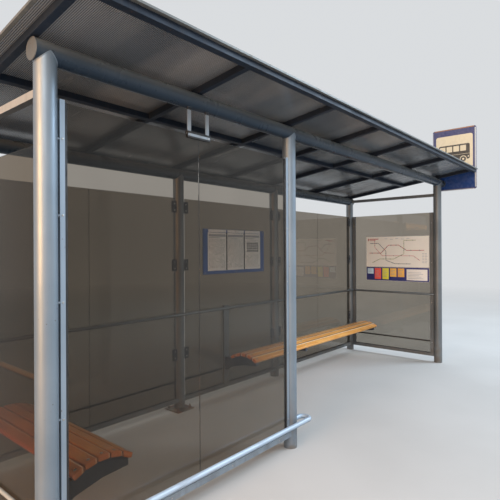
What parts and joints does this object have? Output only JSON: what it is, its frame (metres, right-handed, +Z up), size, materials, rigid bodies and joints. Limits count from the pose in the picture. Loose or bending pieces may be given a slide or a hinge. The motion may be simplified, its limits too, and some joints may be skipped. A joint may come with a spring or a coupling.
{
  "type": "bus shelter",
  "caption": "Open-fronted bus shelter with round steel posts, a lean-to sheeted roof, tinted glass walls, slatted wooden benches, boards and a flag sign.",
  "frame": {"origin": "on the ground, in the middle of the front left post's foot", "axes": "+X along the open front to the right, +Y from the front to the rear wall, +Z up"},
  "size_m": [6.0394, 2.0427, 3.335],
  "materials": {
    "post_paint": "satin metallic grey paint",
    "beam_paint": "satin dark blue-grey paint",
    "rear_paint": "satin grey paint, weathered",
    "cap_paint": "chalky grey paint",
    "foot_steel": "bare steel, dull and stained",
    "roof_paint": "satin dark slate paint",
    "roof_sheet": "tinted twin-wall polycarbonate",
    "trim_aluminium": "mill finish, weathered",
    "tinted_glass": "bronze tinted toughened glass",
    "bumper_paint": "gloss silver-blue paint",
    "clamp_black": "black, matte",
    "seat_wood": "orange-brown varnish, satin",
    "bracket_paint": "satin dark blue-grey paint",
    "board_blue": "satin blue paint",
    "map_print": "printed plastic sheet",
    "sign_blue": "gloss blue paint"
  },
  "bodies": {
    "root": {"front_post_left": "post_paint", "front_post_middle": "post_paint", "front_post_right": "post_paint", "front_glazing_bars": "post_paint", "front_sill": "post_paint", "glass_hangers": "post_paint", "left_end_rails": "post_paint", "front_beam": "beam_paint", "rear_beam": "beam_paint", "rear_post_left": "rear_paint", "rear_post_inner": "rear_paint", "rear_post_bench": "rear_paint", "rear_post_right": "rear_paint", "left_end_bars": "rear_paint", "right_end_bars": "rear_paint", "right_end_rails": "rear_paint", "rear_rails": "rear_paint", "bench_supports": "rear_paint", "beam_end_caps": "cap_paint", "rear_base_plates": "foot_steel", "rafters": "roof_paint", "eave_purlin": "roof_paint", "mid_purlins": "roof_paint", "rear_purlin": "roof_paint", "roof_sheet_1": "roof_sheet", "roof_sheet_2": "roof_sheet", "roof_sheet_3": "roof_sheet", "roof_sheet_4": "roof_sheet", "sheet_joint_strips": "trim_aluminium", "sheet_edge_channels": "trim_aluminium", "front_glass": "tinted_glass", "left_end_glass": "tinted_glass", "right_end_glass": "tinted_glass", "rear_glass": "tinted_glass", "bumper_rail": "bumper_paint", "bumper_bends": "bumper_paint", "glass_clamps": "clamp_black", "rear_bench_slats": "seat_wood", "side_bench_slats": "seat_wood", "rear_bench_brackets": "bracket_paint", "side_bench_brackets": "bracket_paint", "sign_bracket": "bracket_paint", "timetable_board": "board_blue", "map_board": "map_print", "stop_sign": "sign_blue"}
  },
  "joints": []
}
